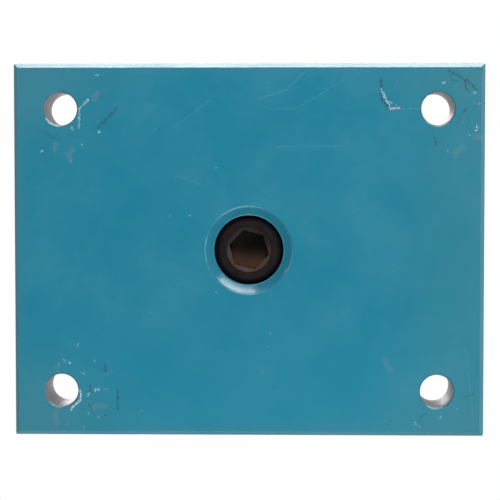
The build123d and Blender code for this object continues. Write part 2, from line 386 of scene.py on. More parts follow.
def make_plate():
    """The plate with its four corner holes and its stepped middle hole."""
    slab = chamfered_slab()
    for x, y in spots():
        combine(slab, corner_cutter(x, y), "DIFFERENCE")
    combine(slab, sink_cutter(), "DIFFERENCE")
    return soften(slab, 0.6 * MM, segments=3)


# ======================================================================
# the bolt
# ======================================================================

def threaded_rod(name, low, high):
    """A right-hand M24 thread: the radius follows the helix, and a cone at the top runs it out."""
    steps = 96
    rows_per_pitch = 12
    flank, root = 1.45, 0.15
    rows = int((high - low) / THREAD_PITCH * rows_per_pitch)
    bm = bmesh.new()
    grid = []
    for row in range(rows + 1):
        z = low + (high - low) * row / rows
        ring = []
        for k in range(steps):
            phase = (z / THREAD_PITCH - k / steps) % 1.0
            ridge = min(1.0, max(0.0, flank * (1 - abs(2 * phase - 1)) - root))
            radius = SHANK_R - THREAD_DEPTH * (1 - ridge)
            radius = min(radius, SHANK_R + (high - z) - TIP_CHAMFER)
            angle = math.tau * k / steps
            ring.append(bm.verts.new((radius * math.cos(angle), radius * math.sin(angle), z)))
        grid.append(ring)
    for lower, upper in zip(grid, grid[1:]):
        for k in range(steps):
            n = (k + 1) % steps
            bm.faces.new((lower[k], lower[n], upper[n], upper[k]))
    bm.faces.new(grid[0])
    bm.faces.new(grid[-1])
    return from_bmesh(name, bm)


def make_bolt():
    """Low head screw: rounded head, countersunk hexagon socket with a drill point, plain shank."""
    top = BOLT_LOW.z
    under = SINK_DEPTH
    ease = 0.5 * MM
    arc = [(HEAD_R - HEAD_ROUNDING + HEAD_ROUNDING * math.cos(math.radians(d)),
            top + HEAD_ROUNDING - HEAD_ROUNDING * math.sin(math.radians(d))) for d in range(90, -1, -10)]
    thread_start = BOLT_HIGH.z - THREAD_LENGTH
    bolt = lathe("swivel_bolt_body", [(0, top), *arc, (HEAD_R, under - ease), (HEAD_R - ease, under),
                                      (SHANK_R, under), (SHANK_R, thread_start), (0, thread_start)])
    bottom = top + SOCKET_DEPTH
    corner = SOCKET_FLATS / math.sqrt(3)
    flat_r = SOCKET_FLATS / 2
    combine(bolt, prism("cutter", corner, 6, top - PAST, bottom, SOCKET_TURN), "DIFFERENCE")
    slope = (SOCKET_MOUTH_R - flat_r) / SOCKET_MOUTH_DEPTH
    mouth = lathe("cutter", [(0, top - PAST), (SOCKET_MOUTH_R + slope * PAST, top - PAST),
                             (flat_r, top + SOCKET_MOUTH_DEPTH), (0, top + SOCKET_MOUTH_DEPTH)])
    combine(bolt, mouth, "DIFFERENCE")
    point = lathe("cutter", [(0, bottom - MM), (flat_r, bottom - MM), (flat_r, bottom),
                             (0, bottom + flat_r / math.tan(DRILL_ANGLE))])
    combine(bolt, point, "DIFFERENCE")
    soften(bolt, 0.25 * MM, segments=3, angle=30)
    return bolt


# ======================================================================
# the swivel
# ======================================================================

def make_bushing():
    """The flange of the bush, and its barrel below."""
    flange_r = BUSH_HIGH.x
    low, top = BUSH_LOW.z, BUSH_HIGH.z
    flange_low = top - BUSH_FLANGE_THICK
    return soften(lathe("bushing_body", [(BUSH_BORE_R, low), (BUSH_R, low), (BUSH_R, flange_low),
                                         (flange_r, flange_low), (flange_r, top), (BUSH_BORE_R, top)]),
                  0.5 * MM, segments=3)


def make_body():
    """Round body with two milled flats, a stepped bore, and the holes for its pins."""
    low, high = BODY_LOW.z, BODY_HIGH.z
    radius = BODY_HIGH.x
    top_break, bottom_break, sink_break, hole_break = 3 * MM, 1.5 * MM, 0.8 * MM, 0.4 * MM
    sleeve_r, recess_r, sink_r = 19.5 * MM, 23 * MM, 24.3 * MM
    recess_top, sink_low = low + 6.2 * MM, high - 8 * MM
    body = lathe("swivel_body_shell", [
        (recess_r, low), (radius - bottom_break, low), (radius, low + bottom_break),
        (radius, high - top_break), (radius - top_break, high), (sink_r + sink_break, high),
        (sink_r, high - sink_break), (sink_r, sink_low), (sleeve_r, sink_low), (sleeve_r, recess_top),
        (recess_r, recess_top)])
    keep = block("cutter", (-2 * radius, -BODY_FLAT_Y, low - PAST), (2 * radius, BODY_FLAT_Y, high + PAST))
    combine(body, keep, "INTERSECT")
    for side in (-1, 1):
        bottom = high - ROLL_HOLE_DEPTH
        roll = lathe("cutter", [(0, bottom), (ROLL_PIN_R, bottom), (ROLL_PIN_R, high - hole_break),
                                (ROLL_PIN_R + hole_break + PAST, high + PAST), (0, high + PAST)], steps=32)
        combine(body, place(roll, Matrix.Translation((0, side * ROLL_PIN_Y, 0))), "DIFFERENCE")
    return soften(body, 0.45 * MM, segments=3)


# ======================================================================
# the bail
# ======================================================================

def bail_path(leg_y, leg_start):
    """The bar's centre line, from one eye round the crown to the other."""
    bend_x = BAIL_REACH - leg_y
    points = [Vector((leg_start, -leg_y, 0))]
    for k in range(49):
        angle = -math.pi / 2 + math.pi * k / 48
        points.append(Vector((bend_x + leg_y * math.cos(angle), leg_y * math.sin(angle), 0)))
    points.append(Vector((leg_start, leg_y, 0)))
    return points


def bar(name, points, radius):
    """Round bar along a flat route in the XY plane, closed at both ends."""
    steps = 48
    bm = bmesh.new()
    rings = []
    for k, here in enumerate(points):
        ahead = points[min(k + 1, len(points) - 1)] - points[max(k - 1, 0)]
        ahead.normalize()
        side = Vector((ahead.y, -ahead.x, 0))
        ring = []
        for s in range(steps):
            angle = math.tau * s / steps
            around = side * math.cos(angle) + Vector((0, 0, math.sin(angle)))
            ring.append(bm.verts.new(here + radius * around))
        rings.append(ring)
    for a, b in zip(rings, rings[1:]):
        for s in range(steps):
            n = (s + 1) % steps
            bm.faces.new((a[s], a[n], b[n], b[s]))
    bm.faces.new(rings[0])
    bm.faces.new(rings[-1])
    return from_bmesh(name, bm)


def smooth_near(mesh, weight, rounds):
    """Relaxes a mesh's points towards their neighbours, as far as weight(point) says."""
    weights = [weight(v.co) for v in mesh.vertices]
    around = [[] for _ in mesh.vertices]
    for edge in mesh.edges:
        a, b = edge.vertices
        around[a].append(b)
        around[b].append(a)
    moving = [i for i, w in enumerate(weights) if w > 0.01]
    where = [v.co.copy() for v in mesh.vertices]
    for _ in range(rounds):
        fresh = {}
        for i in moving:
            middle = sum((where[n] for n in around[i]), Vector()) / len(around[i])
            fresh[i] = where[i].lerp(middle, 0.5 * weights[i])
        for i, point in fresh.items():
            where[i] = point
    for v, point in zip(mesh.vertices, where):
        v.co = point


def remesh(obj, size):
    """Joins overlapping closed shapes into one even skin."""
    step = obj.modifiers.new("skin", "REMESH")
    step.mode = "VOXEL"
    step.voxel_size = size
    step.use_smooth_shade = True
    return apply_modifiers(obj)


def join(objs):
    """Puts several meshes into the first one, without cutting them."""
    bm = bmesh.new()
    for obj in objs:
        bm.from_mesh(obj.data)
    first = objs[0]
    bm.to_mesh(first.data)
    bm.free()
    for obj in objs[1:]:
        mesh = obj.data
        bpy.data.objects.remove(obj)
        bpy.data.meshes.remove(mesh)
    return first


def make_bail():
    """A drop forged bail: round bar with eyes that flow into it, a parting line, bored and faced eyes."""
    leg_y = EYE_INNER_Y + WIRE_R
    pieces = [bar("bail_forging", bail_path(leg_y, LEG_START), WIRE_R)]
    flat_r, flat_h = EYE_R - EYE_ROUNDING, WIRE_R - EYE_ROUNDING
    arc = [(flat_r + EYE_ROUNDING * math.sin(a), flat_h + EYE_ROUNDING * math.cos(a))
           for a in (math.radians(d) for d in range(0, 91, 15))]
    rim = arc + [(r, -h) for r, h in reversed(arc)]
    neck = [(0, 0), (17 * MM, 0), (14.5 * MM, 10 * MM), (12.2 * MM, 20 * MM),
            (WIRE_R, 32 * MM), (0, 32 * MM)]
    for side in (-1, 1):
        eye = lathe("eye", [(0, WIRE_R), *rim, (0, -WIRE_R)], steps=96)
        place(eye, Matrix.Translation((0, side * leg_y, 0)) @ Matrix.Rotation(math.pi / 2, 4, "X"))
        flow = lathe("neck", neck, steps=64)
        squeeze = Matrix.Diagonal((1, NECK_SQUEEZE, 1, 1))
        turned = Matrix.Rotation(math.pi / 2, 4, "Y")
        place(flow, Matrix.Translation((NECK_START, side * leg_y, 0)) @ squeeze @ turned)
        pieces += [eye, flow]
    forging = remesh(join(pieces), FORGING_GRID)

    def near_neck(point):
        """How far to smooth: fully where the legs meet the eyes, and less away from there."""
        return max(0.0, 1 - abs(point.x - NECK_MIDDLE) / NECK_REACH)

    smooth_near(forging.data, near_neck, 30)
    smooth_near(forging.data, lambda point: 0.5, 3)
    normals = [v.normal.copy() for v in forging.data.vertices]
    for v, normal in zip(forging.data.vertices, normals):
        point = v.co
        swell = noise.noise(point / (6 * MM)) * 0.10 + noise.noise(point / (1.6 * MM)) * 0.03
        parting = 0.22 * math.exp(-(point.z / (0.9 * MM)) ** 2)
        v.co = point + normal * (swell + parting - 0.2) * MM
    bore_r = PIN_R + EYE_FIT
    straight = WIRE_R - EYE_COUNTERSINK
    flared_r = bore_r + 2 * WIRE_R - straight
    for side in (-1, 1):
        bore = lathe("cutter", [(0, -2 * WIRE_R), (flared_r, -2 * WIRE_R), (bore_r, -straight),
                                (bore_r, straight), (flared_r, 2 * WIRE_R), (0, 2 * WIRE_R)], steps=96)
        place(bore, Matrix.Translation((0, side * leg_y, 0)) @ Matrix.Rotation(math.pi / 2, 4, "X"))
        combine(forging, bore, "DIFFERENCE")
    tilt = math.asin((PIVOT_Z - PLATE_THICK - WIRE_R - BAIL_GAP) / BAIL_REACH)
    return place(forging, Matrix.Translation((0, 0, PIVOT_Z)) @ Matrix.Rotation(tilt, 4, "Y"))


# ======================================================================
# pins, washer and nut
# ======================================================================

def make_pin(side, name):
    """The head and shoulder of a shoulder pin, lying along Y."""
    head_r, inner, outer = PIN_HIGH.x, PIN_LOW.y, PIN_HIGH.y
    under = outer - PIN_HEAD_THICK
    crown_width, crown_drop, centre_depth = 5 * MM, 0.3 * MM, 2.2 * MM
    outline = [(0, inner), (PIN_STUB_R, inner), (PIN_STUB_R, BODY_FLAT_Y), (PIN_R, BODY_FLAT_Y),
               (PIN_R, under), (head_r, under), (head_r, outer - PIN_HEAD_CHAMFER),
               (head_r - PIN_HEAD_CHAMFER, outer - crown_drop), (head_r - crown_width, outer),
               (PIN_CENTRE_R, outer), (0, outer - centre_depth)]
    pin = soften(lathe(name, outline), 0.35 * MM, segments=3, angle=20)
    turn = Matrix.Rotation(-side * math.pi / 2, 4, "X")
    return place(pin, Matrix.Translation((0, 0, PIVOT_Z)) @ turn)


def make_washer():
    """The flat washer under the nut."""
    low, high, radius = WASHER_LOW.z, WASHER_HIGH.z, WASHER_HIGH.x
    return soften(lathe("top_washer_body", [(WASHER_BORE_R, low), (radius, low), (radius, high),
                                            (WASHER_BORE_R, high)]), 0.6 * MM, segments=3)


def make_nut():
    """A hexagon with its corners turned off, and the collar that holds the locking ring."""
    low, high = NUT_LOW.z, NUT_HIGH.z
    flats = NUT_HIGH.y
    corner = flats / math.cos(math.pi / 6)
    fall = (corner - flats) * math.tan(math.pi / 6)
    hex_top = low + NUT_HEX_HEIGHT
    nut = prism("lock_nut_body", corner, 6, low, hex_top)
    turned = lathe("cutter", [(0, low), (flats, low), (corner, low + fall), (corner, hex_top - fall),
                              (flats, hex_top), (0, hex_top)])
    combine(nut, turned, "INTERSECT")
    collar = lathe("collar", [(0, hex_top - PAST), (NUT_COLLAR_R, hex_top - PAST),
                              (NUT_COLLAR_R, high - 1.6 * MM), (NUT_COLLAR_R - 0.5 * MM, high - 0.5 * MM),
                              (NUT_COLLAR_R - 1.5 * MM, high), (0, high)])
    combine(nut, collar, "UNION")
    insert_top = high - 0.5 * MM
    insert_low = insert_top - INSERT_HEIGHT
    cavity = lathe("cutter", [(0, low - PAST), (SHANK_R + PAST, low - PAST), (SHANK_R, low + MM),
                              (SHANK_R, insert_low), (INSERT_R, insert_low),
                              (INSERT_R, insert_top - 0.2 * MM), (NUT_LIP_R, insert_top),
                              (NUT_LIP_R, high + PAST), (0, high + PAST)])
    combine(nut, cavity, "DIFFERENCE")
    return soften(nut, 0.4 * MM, segments=3, angle=22)


# ======================================================================
# materials
# ======================================================================

def near_edges(s, width, low, high):
    """One where the surface turns a corner within width millimetres, for worn edges."""
    rounded = s.node("ShaderNodeBevel", inputs={"Radius": width * MM})
    flat = s.node("ShaderNodeNewGeometry", "Normal")
    return s.band(s.vector("DOT_PRODUCT", rounded, flat), low, high, 1.0, 0.0)


# The enamel's colours, a lighter painted-light tone and the colours of its wear, as linear red, green and blue.
ENAMEL = (0.0100, 0.174, 0.262)
ENAMEL_CLOUD = (0.0200, 0.194, 0.278)
ENAMEL_PAINTED_LIGHT = (0.016, 0.208, 0.305)
DUST = (0.038, 0.186, 0.246)
GRAIN = (0.08, 0.26, 0.32)
SCRATCHED = (0.10, 0.32, 0.40)
RUBBED = (0.080, 0.150, 0.175)
KNOCKED = (0.020, 0.055, 0.065)
CHIPPED = (0.46, 0.58, 0.62)
BARE_DARK = (0.13, 0.12, 0.13)
BARE_PALE = (0.34, 0.33, 0.35)

# Where the enamel changes over the mounting face, in millimetres: from the middle to the +Y edge, where it is
# painted lighter as painted light, out to the corners (x times y), to the +X edge, and in from every edge.
PAINTED_LIGHT_Y = (0.0, 99.0)
DUSTY_CORNER = (3500.0, 11500.0)
DUSTY_X = (60.0, 124.0)
DUSTY_RIM = (0.0, 9.0)

# The larger marks on the mounting face, in millimetres, laid out on a 5 mm grid:
# half width, strength, then the points of the route.
LONG_SCUFFS = [
    (1.0, 0.9, (70, -90), (70, -80), (75, -75), (80, -75)),
    (0.8, 0.8, (-70, -75), (-75, -70), (-80, -65)),
    (0.9, 0.8, (105, -95), (115, -90), (120, -85)),
    (0.9, 0.8, (-70, 75), (-70, 85)),
]
LONG_CHIPS = [
    (0.7, 0.7, (-85, -80), (-90, -75), (-90, -65)),
    (0.6, 0.9, (70, -85), (75, -75), (80, -75)),
    (0.8, 1.0, (-90, 75), (-90, 80), (-95, 85)),
    (0.5, 0.7, (15, 15), (20, 10)),
]
SCRATCHES = [
    (0.4, 0.5, (-40, -65), (-20, -80)),
    (0.4, 0.6, (5, -80), (20, -85), (30, -95)),
    (0.4, 0.5, (10, -75), (25, -75), (50, -90)),
    (0.4, 0.8, (80, -75), (90, -75)),
    (0.4, 0.4, (-40, -40), (-25, -35)),
    (0.4, 0.4, (15, -55), (50, -55)),
    (0.4, 0.4, (115, 50), (120, 95)),
]

# Kinds of small mark: how many straight runs, the longest run and the half width, in millimetres.
CHIP = (1, 1.2, 0.55)
KNOCK = (3, 2.6, 0.7)
RUB = (2, 4.5, 2.4)
SPECK = (1, 0.5, 0.45)

# Wear scattered round each corner hole: the hole's side in X and Y and the way the wear leans in degrees,
# then how many chips, dark knocks and dull rubs.
CORNER_WEAR = [
    ((-1, -1, 35), 9, 4, 3),
    ((1, -1, -20), 12, 6, 2),
    ((-1, 1, 10), 15, 6, 4),
    ((1, 1, 60), 5, 3, 1),
]
WEAR_SPREAD = 1.1
WEAR_SEED = 11
WEAR_NEAR = HOLE_R / MM + 3
WEAR_FAR = 28.0
WEAR_MARGIN = 3.0
LOOSE_SPECKS = 16
SPECK_X, SPECK_Y = 115, 90


def inside_face(x, y):
    """Whether a point in millimetres is on the plate's face, clear of its chamfered edges."""
    return abs(x) < PLATE_HIGH.x / MM - WEAR_MARGIN and abs(y) < PLATE_HIGH.y / MM - WEAR_MARGIN


def near_hole(rng, side_x, side_y, lean):
    """A random place on the face in the ring round one corner hole, most often on the side it leans to."""
    while True:
        turn = math.radians(lean) + rng.gauss(0, WEAR_SPREAD)
        away = rng.uniform(WEAR_NEAR, WEAR_FAR)
        x = side_x * HOLE_X / MM + away * math.cos(turn)
        y = side_y * HOLE_Y / MM + away * math.sin(turn)
        if inside_face(x, y):
            return x, y


def wandering_stroke(rng, start, runs, longest, half_width):
    """A random stroke that wanders on from its start in short straight runs: half width, strength, route."""
    route = [start]
    heading = rng.uniform(0, math.tau)
    for _ in range(runs):
        run = rng.uniform(0.3, 1.0) * longest
        heading += rng.uniform(-0.9, 0.9)
        route.append((route[-1][0] + run * math.cos(heading), route[-1][1] + run * math.sin(heading)))
    return (half_width * rng.uniform(0.7, 1.2), rng.uniform(0.4, 1.0), *route)


def scattered(rng, count, corner, kind):
    """That many random strokes of one kind round one corner hole."""
    return [wandering_stroke(rng, near_hole(rng, *corner), *kind) for _ in range(count)]


def plate_wear():
    """Chips, dark knocks and dull rubs: the larger ones listed, the rest scattered at random."""
    rng = random.Random(WEAR_SEED)
    chips, knocks, rubs = list(LONG_CHIPS), list(LONG_SCUFFS), []
    for corner, chip_count, knock_count, rub_count in CORNER_WEAR:
        chips += scattered(rng, chip_count, corner, CHIP)
        knocks += scattered(rng, knock_count, corner, KNOCK)
        rubs += scattered(rng, rub_count, corner, RUB)
    for _ in range(LOOSE_SPECKS):
        spot = (rng.uniform(-SPECK_X, SPECK_X), rng.uniform(-SPECK_Y, SPECK_Y))
        chips.append(wandering_stroke(rng, spot, *SPECK))
    return chips, knocks, rubs


def stroke_group():
    """A node group that adds one straight stroke to a mask: full on the line, nothing past its width."""
    tree = bpy.data.node_groups.new("stroke", "ShaderNodeTree")
    for label in ("Point", "Start", "Along"):
        tree.interface.new_socket(label, in_out="INPUT", socket_type="NodeSocketVector")
    for label in ("Width", "Strength", "Before"):
        tree.interface.new_socket(label, in_out="INPUT", socket_type="NodeSocketFloat")
    tree.interface.new_socket("Mask", in_out="OUTPUT", socket_type="NodeSocketFloat")
    n = Nodes(tree)
    point, start, along, width, strength, before = tree.nodes.new("NodeGroupInput").outputs[:6]
    offset = n.vector("SUBTRACT", point, start)
    share = n.math("DIVIDE", n.vector("DOT_PRODUCT", offset, along), n.vector("DOT_PRODUCT", along, along))
    share = n.math("MAXIMUM", n.math("MINIMUM", share, 1.0), 0.0)
    reach = n.vector("DISTANCE", offset, n.vector("SCALE", along, scale=share))
    mask = n.math("MULTIPLY", n.math("SUBTRACT", 1.0, n.math("DIVIDE", reach, width)), strength)
    tree.links.new(n.math("MAXIMUM", mask, before), tree.nodes.new("NodeGroupOutput").inputs[0])
    return tree


def stroke_mask(s, group, point, strokes):
    """The strongest of many strokes at each point."""
    total = 0.0
    for width, strength, *route in strokes:
        for start, end in zip(route, route[1:]):
            along = (end[0] - start[0], end[1] - start[1], 0)
            fill = {"Point": point, "Start": (*start, 0), "Along": along,
                    "Width": width, "Strength": strength, "Before": total}
            total = s.node("ShaderNodeGroup", 0, fill, node_tree=group)
    return total


def paint():
    """Teal enamel over steel: mottled, painted lighter towards +Y as painted light, dusty at the edges, knocked
    and scratched, bare in the holes.
    """
    s = Shader("teal_enamel", IOR=1.5)
    p = s.place()
    x, y, z = s.parts(p)
    out_x = s.math("ABSOLUTE", x)
    out_y = s.math("ABSOLUTE", y)
    edge = s.math("MINIMUM", s.math("SUBTRACT", PLATE_HIGH.x / MM, out_x),
                  s.math("SUBTRACT", PLATE_HIGH.y / MM, out_y))
    clouds = s.noise(p, 0.022, detail=4)
    mottle = s.noise(p, 0.16, detail=5, rough=0.6)
    grain = s.noise(p, 1.6, detail=3)
    tone = s.math("ADD", s.math("MULTIPLY", clouds, 0.7), s.math("MULTIPLY", mottle, 0.3))
    colour = s.mix(s.band(tone, 0.35, 0.68), ENAMEL, ENAMEL_CLOUD)
    # painted light: the enamel is painted lighter towards the +Y edge
    colour = s.mix(s.band(y, *PAINTED_LIGHT_Y, 0.0, 0.5), colour, ENAMEL_PAINTED_LIGHT)
    corner = s.band(s.math("MULTIPLY", out_x, out_y), *DUSTY_CORNER)
    right = s.math("MULTIPLY", s.band(x, *DUSTY_X), 0.55)
    rim = s.math("MULTIPLY", s.band(edge, *DUSTY_RIM, 1.0, 0.0), 0.5)
    dusty = s.math("MAXIMUM", s.math("MAXIMUM", s.math("MULTIPLY", corner, 0.85), right), rim)
    dusty = s.math("MULTIPLY", dusty, s.band(mottle, 0.15, 0.6, 0.7, 1.0))
    colour = s.mix(dusty, colour, DUST)
    colour = s.mix(s.math("MULTIPLY", s.band(grain, 0.56, 0.76), 0.22), colour, GRAIN)

    # knocks and scratches on the mounting face
    on_face = s.band(z, 0.5, 1.6, 1.0, 0.0)
    rag = s.noise(p, 0.9, detail=4, rough=0.65, colour=True)
    shifted = s.vector("ADD", p, s.vector("SCALE", s.vector("SUBTRACT", rag, (0.5, 0.5, 0.5)), scale=4.5))
    flat = s.vector("MULTIPLY", shifted, (1.0, 1.0, 0.0))
    broken = s.band(grain, 0.3, 0.7, 0.55, 1.45)

    group = stroke_group()

    def marks(strokes, low, high):
        """Where the strokes' mask passes from low to high, broken up, on the mounting face only."""
        mask = s.math("MULTIPLY", stroke_mask(s, group, flat, strokes), broken)
        return s.math("MULTIPLY", s.band(mask, low, high), on_face)

    chip_strokes, knock_strokes, rub_strokes = plate_wear()
    scuffs = marks(rub_strokes, 0.05, 1.0)
    dark = marks(knock_strokes, 0.12, 0.9)
    chips = marks(chip_strokes, 0.12, 0.95)
    fine = s.math("MULTIPLY", s.band(stroke_mask(s, group, flat, SCRATCHES), 0.05, 0.5), on_face)
    colour = s.mix(s.math("MULTIPLY", fine, 0.35), colour, SCRATCHED)
    colour = s.mix(s.math("MULTIPLY", scuffs, 0.45), colour, RUBBED)
    colour = s.mix(s.math("MULTIPLY", dark, 0.85), colour, KNOCKED)
    colour = s.mix(s.math("MULTIPLY", chips, 0.9), colour, CHIPPED)

    # bare walls in the four corner holes
    from_hole = s.node("ShaderNodeCombineXYZ", inputs={
        0: s.math("SUBTRACT", out_x, HOLE_X / MM), 1: s.math("SUBTRACT", out_y, HOLE_Y / MM)})
    radius = s.vector("LENGTH", from_hole)
    ragged = s.math("ADD", radius, s.math("MULTIPLY", s.math("SUBTRACT", mottle, 0.5), 0.5))
    bare = s.band(ragged, HOLE_R / MM + 0.12, HOLE_R / MM + 0.30, 1.0, 0.0)
    steel = s.mix(s.noise(p, 0.5, detail=4), BARE_DARK, BARE_PALE)
    colour = s.mix(bare, colour, steel)
    s.set("Base Color", colour)
    s.set("Metallic", s.math("MULTIPLY", bare, 0.6))
    gloss = s.band(clouds, 0.3, 0.7, 0.20, 0.28)
    dulled = s.math("MULTIPLY", s.math("MAXIMUM", scuffs, chips), 0.3)
    s.set("Roughness", s.math("ADD", s.math("ADD", gloss, dulled), s.math("MULTIPLY", bare, 0.15)))
    peel = s.math("ADD", s.noise(p, 0.45, detail=2), s.math("MULTIPLY", grain, 0.12))
    s.bump(peel, 0.05, strength=0.5)
    return s.material


def black_oxide(name, tint=(0.016, 0.015, 0.016)):
    """Blackened steel with dust, a little rust in the hollows and bright worn edges."""
    s = Shader(name)
    p = s.place()
    cloudy = s.noise(p, 0.12, detail=5, rough=0.6)
    fine = s.noise(p, 1.1, detail=4, rough=0.65)
    colour = s.mix(s.band(cloudy, 0.35, 0.7), tint, (0.035, 0.033, 0.034))
    colour = s.mix(s.math("MULTIPLY", s.band(fine, 0.58, 0.75), 0.35), colour, (0.07, 0.055, 0.045))
    worn = s.math("MULTIPLY", near_edges(s, 0.9, 0.90, 0.985), s.band(fine, 0.42, 0.62))
    colour = s.mix(s.math("MULTIPLY", worn, 0.75), colour, (0.30, 0.29, 0.28))
    s.set("Base Color", colour)
    s.set("Metallic", 0.6)
    s.set("Roughness", s.band(fine, 0.3, 0.75, 0.30, 0.50))
    s.bump(fine, 0.03, strength=0.5)
    return s.material


def bolt_finish():
    """The black screw: a dusty flat top, painted shade round its rim, rust brown in the bottom of its socket with
    painted shade on the -Y side, and a painted highlight on the +Y side of the socket mouth.
    """
    s = Shader("screw_black")
    p = s.place()
    _, y, z = s.parts(p)
    radius = s.vector("LENGTH", s.vector("MULTIPLY", p, (1.0, 1.0, 0.0)))
    cloudy = s.noise(p, 0.25, detail=5, rough=0.6)
    fine = s.noise(p, 1.4, detail=4, rough=0.65)
    colour = s.mix(s.band(cloudy, 0.3, 0.7), (0.008, 0.0055, 0.006), (0.014, 0.010, 0.010))
    colour = s.mix(s.math("MULTIPLY", s.band(fine, 0.60, 0.76), 0.3), colour, (0.06, 0.045, 0.038))
    top = BOLT_LOW.z / MM
    mouth_r = SOCKET_MOUTH_R / MM
    mouth = s.math("MULTIPLY", s.band(radius, mouth_r, mouth_r - 0.5), s.band(z, top + 0.05, top + 0.4))
    # brown tint on the socket mouth, made stronger towards +Y as a painted highlight on its lit side
    colour = s.mix(s.math("MULTIPLY", mouth, s.band(y, -9.0, 9.0, 0.15, 0.8)), colour, (0.075, 0.048, 0.040))
    deep = s.math("MULTIPLY", s.band(z, top + 1.8, top + 3.5), s.band(radius, mouth_r, mouth_r - 1))
    brown = s.mix(fine, (0.030, 0.015, 0.009), (0.110, 0.058, 0.036))
    # rust brown in the socket bottom on the +Y side, with painted shade, near black, on its -Y side
    painted_lit_side = s.band(s.math("ADD", y, s.math("MULTIPLY", fine, 3.0)), -1.0, 11.0)
    rust_and_painted_shade = s.mix(painted_lit_side, (0.006, 0.004, 0.004), brown)
    colour = s.mix(deep, colour, rust_and_painted_shade)
    shoulder = (HEAD_R - HEAD_ROUNDING) / MM
    # painted shade: a near-black ring round the head's rounded rim, where the gap to the counterbore lies in
    # shadow
    painted_gap_shade = s.math("MULTIPLY", s.band(radius, shoulder - 0.3, shoulder + 0.8),
                   s.band(z, SINK_DEPTH / MM + 1, SINK_DEPTH / MM))
    colour = s.mix(s.math("MULTIPLY", painted_gap_shade, 0.9), colour, (0.003, 0.003, 0.005))
    matt = s.math("MAXIMUM", deep, painted_gap_shade)
    s.set("Base Color", colour)
    s.set("Metallic", 0.1)
    s.set("Specular IOR Level", 0.09)
    s.set("Roughness", s.math("ADD", s.band(fine, 0.3, 0.75, 0.40, 0.60), s.math("MULTIPLY", matt, 0.3)))
    s.bump(fine, 0.04, strength=0.6)
    return s.material


# The middle of the bail's crown, in millimetres, where a hook rubs it.
CROWN_RUB = (93.0, 0.0, 44.0)


def forged():
    """Phosphated forging: dark scale, a rough skin and rubbed bright patches where hooks ride."""
    s = Shader("forged_phosphate")
    p = s.place()
    scale = s.noise(p, 0.35, detail=6, rough=0.62)
    fine = s.noise(p, 1.5, detail=5, rough=0.7)
    colour = s.mix(s.band(scale, 0.35, 0.68), (0.030, 0.028, 0.027), (0.070, 0.064, 0.060))
    colour = s.mix(s.math("MULTIPLY", s.band(fine, 0.60, 0.74), 0.4), colour, (0.12, 0.085, 0.06))
    crown = s.vector("DISTANCE", p, CROWN_RUB)
    patchy = s.band(s.noise(p, 0.12, detail=2), 0.30, 0.75)
    rubbed = s.math("MULTIPLY", s.band(crown, 6.0, 30.0, 0.8, 0.0), patchy)
    edges = s.math("MULTIPLY", near_edges(s, 1.0, 0.88, 0.98), s.band(fine, 0.4, 0.6))
    worn = s.math("MAXIMUM", rubbed, edges)
    colour = s.mix(s.math("MULTIPLY", worn, 0.8), colour, (0.24, 0.22, 0.21))
    s.set("Base Color", colour)
    s.set("Metallic", 0.75)
    rough = s.band(fine, 0.3, 0.75, 0.42, 0.60)
    s.set("Roughness", s.math("SUBTRACT", rough, s.math("MULTIPLY", worn, 0.14)))
    skin = s.math("ADD", s.math("MULTIPLY", scale, 0.7), s.math("MULTIPLY", fine, 0.3))
    s.bump(skin, 0.25, strength=0.7)
    return s.material


def metal(name, dark, light, rough, metallic=1.0, relief=0.02):
    """A plain turned or plated metal with soft stains and fine grain."""
    s = Shader(name, Metallic=metallic)
    p = s.place()
    stain = s.noise(p, 0.2, detail=5, rough=0.6)
    fine = s.noise(p, 1.8, detail=4, rough=0.7)
    s.set("Base Color", s.mix(s.band(stain, 0.32, 0.7), dark, light))
    s.set("Roughness", s.band(fine, 0.3, 0.75, rough - 0.07, rough + 0.1))
    s.bump(fine, relief, strength=0.5)
    return s.material


def nylon():
    """Natural nylon, cloudy and a little translucent."""
    s = Shader("natural_nylon", Subsurface_Weight=0.15, IOR=1.53)
    p = s.place()
    cloudy = s.noise(p, 0.3, detail=3)
    s.set("Base Color", s.mix(cloudy, (0.62, 0.58, 0.47), (0.74, 0.71, 0.62)))
    s.set("Roughness", s.band(cloudy, 0.3, 0.7, 0.35, 0.5))
    return s.material


# ======================================================================
# the object
# ======================================================================

def finish_piece(obj, material, body, slot, *nodes):
    """Gives a piece its finish and says what it rides on and which CAD nodes it stands for."""
    obj.data.materials.clear()
    obj.data.materials.append(material)
    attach(obj, body)
    if nodes:
        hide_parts(*nodes)
    return obj


def dress_node(name, material):
    """Gives a CAD node that stays a better finish."""
    mesh = frame["nodes"][name].data
    mesh.materials.clear()
    mesh.materials.append(material)


OXIDE = black_oxide("black_oxide")
BRONZE = metal("bearing_bronze", (0.40, 0.21, 0.07), (0.62, 0.38, 0.16), 0.36)
ZINC = metal("clear_zinc", (0.27, 0.27, 0.26), (0.44, 0.44, 0.43), 0.40)
SPRING = metal("spring_steel", (0.07, 0.07, 0.075), (0.20, 0.19, 0.19), 0.32)

